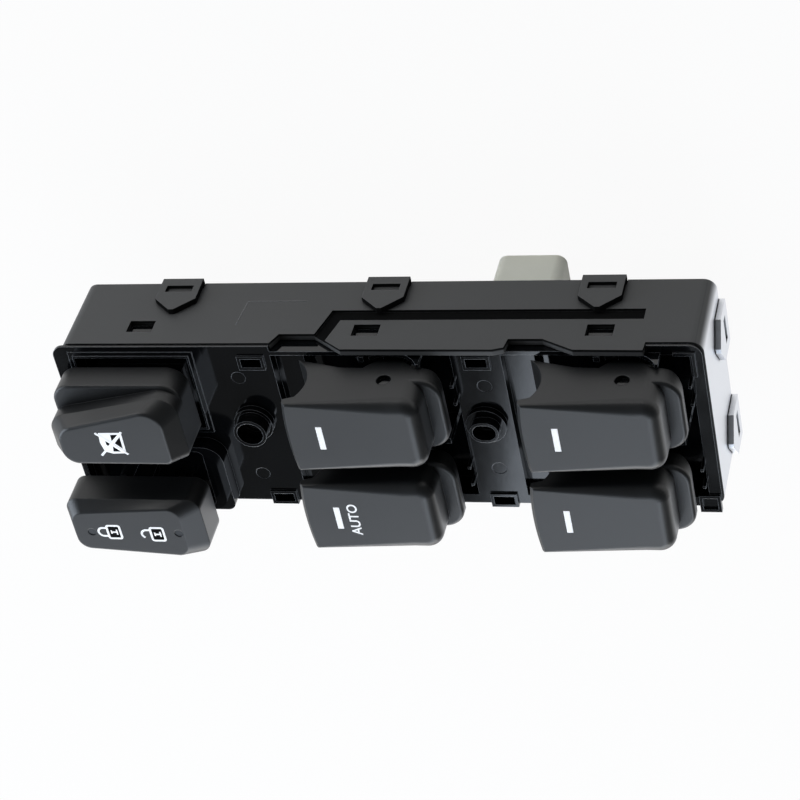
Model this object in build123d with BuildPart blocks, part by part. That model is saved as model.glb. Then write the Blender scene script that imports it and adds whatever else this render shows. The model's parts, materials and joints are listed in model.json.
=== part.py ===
"""Driver's door power window switch: housing, face frame, knobs, buttons and what is inside.

Millimetres. X runs along the switch, +Y is the long side with the marking area, and +Z leaves the
face. The face plane, where the switch meets its bezel, is z = 0.
"""

import os

from build123d import *

os.makedirs("parts", exist_ok=True)

# Housing
body_length = 160.0
body_width = 50.8
body_depth = 24.4
wall = 1.8
corner_radius = 3.0
rim_drop = 0.9
flap_rise = 2.0
flap_left = -25.3
flap_right = 66.6
groove_depth = 0.8
groove_width = 3.8
groove_z = -11.4
groove_end_x = 65.0
window_length = 6.6
window_height = 4.2
# Centre of each snap window in the side wall: along the switch, and up
snap_windows = [(-60.2, -7.5), (-2.0, -5.7), (55.2, -5.4)]

# Clearances
fit = 0.15
seat_gap = 0.3
slide_fit = 0.15
pivot_fit = 0.06
bar_fit = 0.03
cut_margin = 1.0

# Back cover
cover_thick = 1.8
tab_pitch = 53.5
tab_width = 10.6
tab_thick = 1.4
tab_shoulder = 7.9
tab_height = 12.2
tab_tip_width = 1.2
# Two more tabs, on the end wall beside the connector
end_tab_places = [13.2, -16.6]
end_tab_width = 12.4
slot_length = 7.0
slot_height = 2.4
slot_from_back = 2.8
hook_rise = 0.7
pad_inset_x = 8.0
pad_inset_y = 5.0
pad_size = 4.0

# Circuit board
board_top = -15.4
board_thick = 1.6
board_margin = 0.6

# Frame in the face
plate_thick = 1.8
skirt_thick = 1.3
# Flange over the ends of the housing's walls, and its reach past the housing at the left
rim_inset = 0.35
rim_reach = 2.0
pocket_depth = 6.6
floor_thick = 1.4
scoop_depth = 3.0
pocket_half_width = 22.3
# Ends of a knob pocket and its finger scoop, from the knobs' pivot axis
pocket_left = -30.25
scoop_right = -23.0
pocket_right = 14.6
# Ends of the notch in the front edge that a lower knob's skirt dips into
notch_left = -24.6
notch_right = -15.2

partition_left = -22.0
partition_right = 11.5
partition_thick = 1.6
partition_top = 3.0
cradle_face = 21.9
cradle_thick = 1.1
cradle_left = -4.9
cradle_right = 7.9
cradle_top = 4.2
small_tab_x = -6.8
small_tab_width = 1.5
corner_post_x = 14.15
corner_post_size = 0.8
corner_post_top = 2.0
corner_post_half = 2.7
corner_post_shift = 0.5
ejector_radius = 1.8
ejector_depth = 0.12
ejector_marks = [(-35.1, 15.2), (-35.7, -16.1), (26.4, 12.7), (25.8, -13.6)]
catch_recess = 1.3
lug_places = [(25.6, 1), (-30.6, 1), (25.6, -1), (-31.5, -1)]
lug_length = 6.8
lug_width = 4.2
lug_wall = 0.8
lug_depth = 3.4
lug_height = 0.6
front_lug_reach = 0.5
corner_lug = (76.7, -24.0)
corner_lug_size = 5.2
ridge_path = [(72.8, 22.7), (77.6, 22.7), (77.6, 16.0)]
ridge_width = 0.8

# Window knobs
pivot_z = 7.9
left_pivot_x = 4.75
pocket_pitch = 57.25
upper_row_y = 10.87
lower_row_y = -15.05
lower_row_shift = -0.85
knob_width = 20.9
knob_rise = 9.2
knob_wall = 1.4
knob_roof = 1.6
knob_tip = -23.35
lip_bow = 0.7
lip_bevel = 0.9
body_end = 9.55
body_corner = 4.2
top_round = 3.0
lip_round = 0.35
body_split = 2.0
skirt_end = 13.5
skirt_corner = 5.5
ledge_rise = 0.7
ledge_round = 1.0
ear_radius = 7.5
lip_under = (-20.7, 6.2)
scoop_mid = (-19.1, 0.2)
skirt_tip = (-22.95, -7.3)
skirt_foot = (-11.85, -4.6)
lip_edge = 7.6
heel_round = 3.4
cavity_left = -17.6
belly = -4.4
pin_radius = 1.75
pin_recess = 0.9
bar_length = 7.0
bar_width = 1.5
bar_x = -15.4
bar_depth = 3.6
post_width = 5.2
post_thick = 2.0

# Knob lever and the slide switch that it drives
lever_thick = 1.6
lever_tip_radius = 1.2
lever_width = 5.0
lever_reach = 18.9
lever_slot = 9.0
slider_length = 7.6
slider_width = 6.4
slider_thick = 1.8
slider_fork = 2.6
base_length = 15.0
rail_thick = 1.2
wiper_thick = 0.3
wiper_length = 5.3
wiper_arm = 1.6

# Window lock button
lock_left = -80.6
lock_right = -47.2
lock_back = 20.4
lock_front = 0.6
lock_foot = 2.2
lock_shelf = 9.4
lock_top = 17.0
lock_wall = 1.6
guide_length = 20.0
guide_width = 11.0
guide_x = -62.0
guide_y = 8.6
guide_drop = 7.0
guide_wall = 1.4
guide_tube_top = -1.0
guide_tube_bottom = -8.6
stem_radius = 2.6
lock_pocket_x = -61.6
lock_pocket_y = 10.6
lock_pocket_length = 29.4
lock_pocket_width = 22.6
lock_pocket_depth = 4.6
rim_ridge = 0.5
rim_ridge_rise = 0.5
rim_step = 1.6
rim_step_rise = 0.25
lock_overhang = 1.0
lock_skew = 7.0
lock_ridge = 12.8
lock_bevel = 3.3
lock_bevel_front = 1.1
shelf_round = 0.8
lock_top_round = 0.9
# Corner radii of the button's base and body: outer front, inner front, inner back, outer back
lock_base_radii = [5.0, 2.0, 5.0, 5.0]
lock_radii = [4.0, 2.0, 5.0, 5.0]

# Door lock rocker
rocker_left = -83.0
rocker_right = -47.4
rocker_back = -10.6
rocker_front = -26.0
rocker_skew = 2.4
rocker_foot = 7.7
rocker_top = 18.8
rocker_ridge = 16.2
rocker_wall = 1.6
rocker_pivot_x = -65.3
rocker_pivot_z = 11.0
rocker_corner = 3.5
lamp_radius = 1.1
lamp_offset = 11.6
plunger_radius = 1.6
plunger_offset = 8.0
plunger_fit = 0.1
rocker_bevel_left = 1.6
rocker_bevel_right = 5.0
rocker_bevel_front = 0.8
rocker_bevel_back = 3.0
rocker_top_round = 0.6
rocker_ear_radius = 3.0
ear_inset = 0.4
pad_bottom = 6.0
pad_radius = 2.2
lamp_y = -19.6
lamp_depth = 0.8
lamp_sink = 0.15

# Raised block under the rocker
block_left = -82.0
block_right = -43.6
block_back = -4.2
block_front = -25.0
block_top = 4.0
block_corner = 2.2
block_back_corner = 5.0
block_rim = 1.4
block_floor = 0.8
recess_right = -48.6
rib_places = [-74.0, -71.4, -61.5, -58.5]
rib_y = -8.0
rib_thick = 0.8
rib_top = 5.0

# Tact switches on the board
tact_size = 6.2
tact_height = 3.6
tact_bore_depth = 3.0
tact_insert = 1.2

# Screw tubes
tube_y = 1.3
left_tube_x = -33.9
right_tube_x = 25.2
left_tube_top = 5.0
right_tube_top = 4.0
left_tube_radius = 4.15
left_tube_bore = 3.3
right_tube_length = 7.2
right_tube_width = 6.1
right_tube_wall = 0.75
collar_radius = 5.0
collar_top = 1.6
screw_hole_radius = 2.1
screw_web = 2.0
access_radius = 3.6
access_wall = 1.1

# Connector
plug_x = 32.4
plug_y = 14.6
plug_length = 17.2
plug_width = 15.4
plug_wall = 1.5
plug_corner = 2.5
plug_mouth = -38.3
plug_floor = -24.0
plug_catch_length = 5.8
plug_catch_height = 3.0
pin_size = 0.64
pin_hole_radius = 0.55
pin_pitch_x = 1.9
pin_pitch_y = 4.4
pin_columns = 7
pin_tip = -33.0
pin_stub = 0.8

# Chip and lamps on the board
chip_place = (-20.5, -13.0)
chip_size = 12.0
chip_height = 2.0
lamp_length = 3.0
lamp_width = 1.6
lamp_height = 1.1

# Worked out from the sizes above
half_length = body_length / 2
half_width = body_width / 2
inner_length = body_length - 2 * wall
inner_width = body_width - 2 * wall
inner_radius = corner_radius - wall / 2
frame_length = inner_length - 2 * fit
frame_width = inner_width - 2 * fit
pocket_floor = -pocket_depth
board_under = board_top - board_thick
cover_inner = cover_thick - body_depth
knob_inner = knob_width - 2 * knob_wall
lever_end = pivot_z - lever_reach
fork_floor = lever_end - seat_gap
slider_under = fork_floor - slider_thick
slide_base_top = slider_under - wiper_thick - seat_gap
plate_middle_y = (upper_row_y + lower_row_y) / 2
pivots = {"left": left_pivot_x, "right": left_pivot_x + pocket_pitch}
rows = {"upper": upper_row_y, "lower": lower_row_y}
knob_places = {
    "passenger_window": (pivots["left"], rows["upper"]),
    "driver_window": (pivots["left"] + lower_row_shift, rows["lower"]),
    "rear_left_window": (pivots["right"], rows["upper"]),
    "rear_right_window": (pivots["right"] + lower_row_shift, rows["lower"]),
}
plunger_places = {
    "lock": rocker_pivot_x - plunger_offset,
    "unlock": rocker_pivot_x + plunger_offset,
}
rocker_y = (rocker_back + rocker_front) / 2
rocker_width = rocker_back - rocker_front
corner_post_rows = [
    row_y + corner_post_shift + side * corner_post_half for row_y in rows.values() for side in (1, -1)
]
notch_places = [
    (x + lower_row_shift + (notch_left + notch_right) / 2, -half_width) for x in pivots.values()
]
notch_length = notch_right - notch_left
tube_places = [(left_tube_x, tube_y), (right_tube_x, tube_y)]
tab_places = [-tab_pitch, 0, tab_pitch]


def side_plane(y):
    """Plane with its X along the switch and its Y up, at one distance across the switch."""
    return Plane.XZ.offset(-y)


def tab_profile(plane, centres, width):
    """Sketch snap tabs with pointed tips and slots on one plane of the walls."""
    with BuildSketch(plane) as tabs:
        for centre in centres:
            with BuildLine():
                Polyline(
                    (centre - width / 2, -body_depth),
                    (centre + width / 2, -body_depth),
                    (centre + width / 2, tab_shoulder - body_depth),
                    (centre + tab_tip_width / 2, tab_height - body_depth),
                    (centre - tab_tip_width / 2, tab_height - body_depth),
                    (centre - width / 2, tab_shoulder - body_depth),
                    close=True,
                )
            make_face()
        with Locations([(centre, slot_from_back + slot_height / 2 - body_depth) for centre in centres]):
            Rectangle(slot_length, slot_height, mode=Mode.SUBTRACT)
    return tabs.sketch


# Front edge of the wall with the marking area: along the switch, and up
front_edge = [
    (-half_length, -rim_drop),
    (flap_left, -rim_drop),
    (-23.6, -4.3),
    (-14.7, -4.3),
    (-6.9, 1.5),
    (30.5, 1.7),
    (33.2, 0.9),
    (33.7, -2.2),
    (42.0, -2.2),
    (49.8, 1.8),
    (66.4, flap_rise),
    (flap_right, -rim_drop),
    (half_length, -rim_drop),
    (half_length, 2 * flap_rise),
    (-half_length, 2 * flap_rise),
]
groove_path = [
    (groove_end_x, groove_z),
    (-10.7, groove_z),
    (-13.8, 0.0),
]

# Housing: open tube of four walls with a stepped front edge
with BuildPart() as housing:
    with BuildSketch(Plane.XY.offset(-body_depth)):
        RectangleRounded(body_length, body_width, corner_radius)
    extrude(amount=body_depth + flap_rise)
    with BuildSketch(Plane.XY.offset(-body_depth)):
        RectangleRounded(inner_length, inner_width, inner_radius)
    extrude(amount=body_depth + flap_rise, mode=Mode.SUBTRACT)
    # Every wall but the marked one ends level with the rim
    with BuildSketch(Plane.XY.offset(-rim_drop)):
        with Locations((0, -wall)):
            Rectangle(body_length, body_width)
    extrude(amount=2 * flap_rise, mode=Mode.SUBTRACT)
    with BuildSketch(side_plane(half_width)):
        with BuildLine():
            Polyline(front_edge, close=True)
        make_face()
    extrude(amount=wall, mode=Mode.SUBTRACT)
    # Groove along the marked wall, with its end turned to the front edge
    with BuildSketch(side_plane(half_width)):
        with BuildLine():
            Polyline(groove_path)
        trace(line_width=groove_width)
    extrude(amount=groove_depth, mode=Mode.SUBTRACT)
    # Snap windows for the frame's catches, through both long walls
    with BuildSketch(side_plane(half_width)):
        with Locations(snap_windows):
            Rectangle(window_length, window_height)
    extrude(amount=body_width, mode=Mode.SUBTRACT)
    # Notches that the cover's tabs leave through
    with BuildSketch(Plane.XY.offset(-body_depth)):
        with Locations([(x, 0) for x in tab_places]):
            Rectangle(tab_width + 2 * fit, body_width)
        with Locations([(half_length, y) for y in end_tab_places]):
            Rectangle(4 * wall, end_tab_width + 2 * fit)
    extrude(amount=cover_thick + fit, mode=Mode.SUBTRACT)
    # Hooks that hold the cover's tabs
    with BuildSketch(Plane.YZ.offset(half_length)):
        with Locations([(y, slot_from_back + slot_height / 2 - body_depth) for y in end_tab_places]):
            Rectangle(slot_length - 2 * fit, slot_height - 2 * fit)
    extrude(amount=hook_rise)
    for side in (1, -1):
        with BuildSketch(side_plane(side * half_width)):
            with Locations([(x, slot_from_back + slot_height / 2 - body_depth) for x in tab_places]):
                Rectangle(slot_length - 2 * fit, slot_height - 2 * fit)
        extrude(amount=-side * hook_rise)
    # Notches in the front wall for the frame's lugs
    with BuildSketch(Plane.XY.offset(-lug_depth - fit)):
        with Locations([(x, -half_width) for x, side in lug_places if side < 0]):
            Rectangle(lug_length + 2 * fit, 2 * wall)
    extrude(amount=lug_depth + flap_rise, mode=Mode.SUBTRACT)
    # Notches in the front wall for the skirts of the lower knobs
    with BuildSketch(Plane.XY.offset(-scoop_depth - fit)):
        with Locations(notch_places):
            Rectangle(notch_length + 2 * fit, 2 * wall + 2 * fit)
    extrude(amount=scoop_depth + flap_rise, mode=Mode.SUBTRACT)
housing.part.label = "housing"
export_step(housing.part, "parts/housing.step")

# Back cover: plate between the walls, with eight snap tabs outside them
with BuildPart() as back_cover:
    with BuildSketch(Plane.XY.offset(-body_depth)):
        RectangleRounded(frame_length, frame_width, inner_radius)
    extrude(amount=cover_thick)
    for side in (1, -1):
        outer = half_width + fit + tab_thick
        with BuildSketch(Plane.XY.offset(-body_depth)):
            with Locations([(x, side * (outer + half_width - 2 * wall) / 2) for x in tab_places]):
                Rectangle(tab_width, outer - half_width + 2 * wall)
        extrude(amount=cover_thick)
        tabs = tab_profile(side_plane(side * (half_width + fit)), tab_places, tab_width)
        extrude(tabs, amount=-side * tab_thick)
    end_outer = half_length + fit + tab_thick
    with BuildSketch(Plane.XY.offset(-body_depth)):
        with Locations([((end_outer + half_length - 2 * wall) / 2, y) for y in end_tab_places]):
            Rectangle(end_outer - half_length + 2 * wall, end_tab_width)
    extrude(amount=cover_thick)
    end_tabs = tab_profile(Plane.YZ.offset(half_length + fit), end_tab_places, end_tab_width)
    extrude(end_tabs, amount=tab_thick)
    # Pads that carry the board
    with BuildSketch(Plane.XY.offset(cover_inner)):
        with GridLocations(inner_length - 2 * pad_inset_x, inner_width - 2 * pad_inset_y, 2, 2):
            Rectangle(pad_size, pad_size)
    extrude(amount=board_under - cover_inner)
    # Ways through for the connector and the two screws
    with BuildSketch(Plane.XY.offset(-body_depth)):
        with Locations((plug_x, plug_y)):
            RectangleRounded(plug_length + 2 * seat_gap, plug_width + 2 * seat_gap, plug_corner)
        with Locations(tube_places):
            Circle(access_radius + access_wall + fit)
    extrude(amount=cover_thick, mode=Mode.SUBTRACT)
back_cover.part.label = "back_cover"
export_step(back_cover.part, "parts/back_cover.step")

# Frame: glossy moulding in the face, which carries every knob and button
with BuildPart() as switch_frame:
    with BuildSketch(Plane.XY.offset(-plate_thick)):
        RectangleRounded(frame_length, frame_width, inner_radius)
    extrude(amount=plate_thick)
    # Flange over the ends of the walls, open where the marked wall stands up
    rim_left = -half_length - rim_reach
    rim_right = half_length - rim_inset
    with BuildSketch(Plane.XY.offset(fit - rim_drop)):
        with Locations(((rim_left + rim_right) / 2, 0)):
            RectangleRounded(rim_right - rim_left, body_width - 2 * rim_inset, corner_radius)
        with Locations(((flap_left + flap_right) / 2, half_width)):
            Rectangle(flap_right - flap_left + 2 * fit, body_width - frame_width, mode=Mode.SUBTRACT)
    extrude(amount=rim_drop - fit)
    # Skirt that stands on the board
    with BuildSketch(Plane.XY.offset(board_top)):
        RectangleRounded(frame_length, frame_width, inner_radius)
        offset(amount=-skirt_thick, mode=Mode.SUBTRACT)
    extrude(amount=-board_top - plate_thick)
    # Boxes under the two knob pockets
    for pivot_x in pivots.values():
        box_left = pivot_x + pocket_left - floor_thick
        box_right = min(pivot_x + pocket_right + floor_thick, frame_length / 2)
        with BuildSketch(Plane.XY.offset(pocket_floor - floor_thick)):
            with Locations(((box_left + box_right) / 2, 0)):
                RectangleRounded(box_right - box_left, frame_width, inner_radius)
        extrude(amount=pocket_depth + floor_thick)
    # Knob pockets, with the shallower finger scoop at the left of each
    for pivot_x in pivots.values():
        with BuildSketch(Plane.XY):
            with Locations((pivot_x + (pocket_left + pocket_right) / 2, 0)):
                Rectangle(pocket_right - pocket_left, 2 * pocket_half_width)
        extrude(amount=-scoop_depth, mode=Mode.SUBTRACT)
        with BuildSketch(Plane.XY):
            with Locations((pivot_x + (scoop_right + pocket_right) / 2, 0)):
                Rectangle(pocket_right - scoop_right, 2 * pocket_half_width)
        extrude(amount=-pocket_depth, mode=Mode.SUBTRACT)
    # Notches in the front edge for the skirts of the lower knobs
    with BuildSketch(Plane.XY):
        with Locations(notch_places):
            Rectangle(notch_length, 2 * (half_width - pocket_half_width))
    extrude(amount=-scoop_depth, mode=Mode.SUBTRACT)
    # Wall between the two knobs of a pocket
    for pivot_x in pivots.values():
        with BuildSketch(Plane.XY.offset(pocket_floor)):
            with Locations((pivot_x + (partition_left + partition_right) / 2, plate_middle_y)):
                Rectangle(partition_right - partition_left, partition_thick)
        extrude(amount=partition_top - pocket_floor)
    # Posts inside each knob, with the pins that the knob turns on
    for pivot_x, row_y in knob_places.values():
        for side in (1, -1):
            post_face = row_y + side * (knob_inner / 2 - seat_gap)
            with BuildSketch(side_plane(post_face)):
                with Locations((pivot_x, (pocket_floor + pivot_z) / 2)):
                    Rectangle(post_width, pivot_z - pocket_floor)
                with Locations((pivot_x, pivot_z)):
                    Circle(post_width / 2)
            extrude(amount=side * post_thick)
            with BuildSketch(side_plane(post_face)):
                with Locations((pivot_x, pivot_z)):
                    Circle(pin_radius)
            extrude(amount=-side * (seat_gap + knob_wall - pin_recess))
        # Slot in the floor for the knob's lever
        with BuildSketch(Plane.XY.offset(pocket_floor - floor_thick)):
            with Locations((pivot_x, row_y)):
                Rectangle(lever_slot, lever_width + 4 * seat_gap)
        extrude(amount=floor_thick, mode=Mode.SUBTRACT)
    # Cradle that follows the ear of each knob beside the marked wall, and a small tab next to it
    for pivot_x in pivots.values():
        with BuildSketch(side_plane(cradle_face)):
            with Locations((pivot_x + (cradle_left + cradle_right) / 2, (pocket_floor + cradle_top) / 2)):
                Rectangle(cradle_right - cradle_left, cradle_top - pocket_floor)
            with Locations((pivot_x, pivot_z)):
                Circle(ear_radius + 2 * seat_gap, mode=Mode.SUBTRACT)
        extrude(amount=-cradle_thick)
        with BuildSketch(Plane.XY.offset(pocket_floor)):
            with Locations((pivot_x + small_tab_x, cradle_face + small_tab_width / 2)):
                Rectangle(small_tab_width, small_tab_width)
            with Locations([(pivot_x + corner_post_x, y) for y in corner_post_rows]):
                Rectangle(corner_post_size, corner_post_size)
        extrude(amount=corner_post_top - pocket_floor)
    # Pocket of the window lock button, its rim and the tube that guides the button
    with BuildSketch(Plane.XY.offset(-lock_pocket_depth - floor_thick)):
        with Locations((lock_pocket_x, lock_pocket_y)):
            Rectangle(lock_pocket_length + 2 * skirt_thick, lock_pocket_width + 2 * skirt_thick)
    extrude(amount=lock_pocket_depth)
    with BuildSketch(Plane.XY.offset(-lock_pocket_depth)):
        with Locations((lock_pocket_x, lock_pocket_y)):
            Rectangle(lock_pocket_length, lock_pocket_width)
    extrude(amount=lock_pocket_depth, mode=Mode.SUBTRACT)
    for margin, rise in ((rim_step, rim_step_rise), (rim_ridge, rim_ridge_rise)):
        with BuildSketch(Plane.XY):
            with Locations((lock_pocket_x, lock_pocket_y)):
                Rectangle(lock_pocket_length + 2 * margin, lock_pocket_width + 2 * margin)
                Rectangle(lock_pocket_length, lock_pocket_width, mode=Mode.SUBTRACT)
        extrude(amount=rise)
    with BuildSketch(Plane.XY.offset(guide_tube_bottom)):
        with Locations((guide_x, guide_y)):
            Rectangle(
                guide_length + 2 * seat_gap + 2 * guide_wall,
                guide_width + 2 * seat_gap + 2 * guide_wall,
            )
    extrude(amount=guide_tube_top - guide_tube_bottom)
    with BuildSketch(Plane.XY.offset(guide_tube_bottom)):
        with Locations((guide_x, guide_y)):
            Rectangle(guide_length + 2 * seat_gap, guide_width + 2 * seat_gap)
    extrude(amount=guide_tube_top - guide_tube_bottom, mode=Mode.SUBTRACT)
    # Raised block under the rocker, hollow on top
    with BuildSketch(Plane.XY.offset(fit - rim_drop)):
        with Locations(((block_left + block_right) / 2, (block_back + block_front) / 2)):
            Rectangle(block_right - block_left, block_back - block_front)
        block_ends = vertices().group_by(Axis.X)
        fillet(block_ends[0] + block_ends[-1].sort_by(Axis.Y)[:1], block_corner)
        fillet(vertices().sort_by_distance((block_right, block_back, fit - rim_drop))[0], block_back_corner)
    extrude(amount=block_top + rim_drop - fit)
    with BuildSketch(Plane.XY.offset(block_floor)):
        with Locations(((block_left + recess_right + block_rim) / 2, (block_back + block_front) / 2)):
            RectangleRounded(
                recess_right - block_left - block_rim,
                block_back - block_front - 2 * block_rim,
                block_corner - block_rim / 2,
            )
    extrude(amount=block_top - block_floor, mode=Mode.SUBTRACT)
    # Posts and pins of the rocker, ribs beside it and holes for its plungers
    for side in (1, -1):
        post_face = rocker_y + side * (rocker_width / 2 - rocker_wall - seat_gap)
        with BuildSketch(side_plane(post_face)):
            with Locations((rocker_pivot_x, (block_floor + rocker_pivot_z) / 2)):
                Rectangle(post_width, rocker_pivot_z - block_floor)
            with Locations((rocker_pivot_x, rocker_pivot_z)):
                Circle(post_width / 2)
        extrude(amount=side * post_thick)
        with BuildSketch(side_plane(post_face)):
            with Locations((rocker_pivot_x, rocker_pivot_z)):
                Circle(pin_radius)
        extrude(amount=-side * (seat_gap + rocker_wall - pin_recess))
    with BuildSketch(Plane.XY.offset(block_floor)):
        with Locations([(x, rib_y) for x in rib_places]):
            Rectangle(rib_thick, 2 * rib_thick)
    extrude(amount=rib_top - block_floor)
    with BuildSketch(Plane.XY.offset(-plate_thick)):
        with Locations([(x, rocker_y) for x in plunger_places.values()]):
            Circle(plunger_radius + plunger_fit)
    extrude(amount=plate_thick + block_floor, mode=Mode.SUBTRACT)
    # Screw tubes in front of the plate, and the sleeves that reach the screws from behind
    with BuildSketch(Plane.XY):
        with Locations(tube_places[0]):
            Circle(left_tube_radius)
    extrude(amount=left_tube_top)
    with BuildSketch(Plane.XY):
        with Locations(tube_places[1]):
            SlotOverall(right_tube_length, right_tube_width)
    extrude(amount=right_tube_top)
    with BuildSketch(Plane.XY):
        with Locations(tube_places):
            Circle(collar_radius)
    extrude(amount=collar_top)
    with BuildSketch(Plane.XY.offset(-body_depth)):
        with Locations(tube_places):
            Circle(access_radius + access_wall)
    extrude(amount=body_depth)
    with BuildSketch(Plane.XY.offset(-body_depth)):
        with Locations(tube_places):
            Circle(access_radius)
    extrude(amount=body_depth - plate_thick, mode=Mode.SUBTRACT)
    with BuildSketch(Plane.XY.offset(screw_web - plate_thick)):
        with Locations(tube_places[0]):
            Circle(left_tube_bore)
        with Locations(tube_places[1]):
            SlotOverall(right_tube_length - 2 * right_tube_wall, right_tube_width - 2 * right_tube_wall)
    extrude(amount=left_tube_top, mode=Mode.SUBTRACT)
    with BuildSketch(Plane.XY.offset(-plate_thick)):
        with Locations(tube_places):
            Circle(screw_hole_radius)
    extrude(amount=screw_web, mode=Mode.SUBTRACT)
    # Nothing below the rim stands out of the frame's outline
    with BuildSketch(Plane.XY.offset(pocket_floor)):
        Rectangle(body_length, body_width)
        RectangleRounded(frame_length, frame_width, inner_radius, mode=Mode.SUBTRACT)
    extrude(amount=fit - rim_drop - pocket_floor, mode=Mode.SUBTRACT)
    # Catches that snap into the housing's windows
    for side in (1, -1):
        with BuildSketch(side_plane(side * frame_width / 2)):
            with Locations(snap_windows):
                Rectangle(window_length - 4 * fit, window_height - 4 * fit)
        extrude(amount=-side * (fit + wall - catch_recess))
    # Lugs that the bezel's hooks snap into
    for lug_x, side in lug_places:
        lug_outer = half_width + front_lug_reach if side < 0 else pocket_half_width
        lug_inner = lug_outer - lug_width
        with BuildSketch(Plane.XY.offset(-lug_depth)):
            with Locations((lug_x, side * (lug_outer + lug_inner) / 2)):
                Rectangle(lug_length, lug_width)
        extrude(amount=lug_depth + lug_height)
        with BuildSketch(Plane.XY.offset(-lug_depth)):
            with Locations((lug_x, side * (lug_outer + lug_inner) / 2)):
                Rectangle(lug_length - 2 * lug_wall, lug_width - 2 * lug_wall)
        extrude(amount=lug_depth + lug_height, mode=Mode.SUBTRACT)
    # Lug on the flange at one corner, and the bent ridge at the other
    with BuildSketch(Plane.XY.offset(fit - rim_drop)):
        with Locations(corner_lug):
            Rectangle(corner_lug_size, corner_lug_size)
    extrude(amount=rim_drop - fit + lug_height)
    with BuildSketch(Plane.XY):
        with Locations(corner_lug):
            Rectangle(corner_lug_size - 2 * lug_wall, corner_lug_size - 2 * lug_wall)
    extrude(amount=lug_height, mode=Mode.SUBTRACT)
    with BuildSketch(Plane.XY):
        with BuildLine():
            Polyline(ridge_path)
        trace(line_width=ridge_width)
    extrude(amount=rim_ridge_rise)
    # Round marks that the moulding's ejector pins leave
    with BuildSketch(Plane.XY.offset(-ejector_depth)):
        with Locations(ejector_marks):
            Circle(ejector_radius)
    extrude(amount=ejector_depth, mode=Mode.SUBTRACT)
switch_frame.part.label = "switch_frame"
export_step(switch_frame.part, "parts/switch_frame.step")

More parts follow.
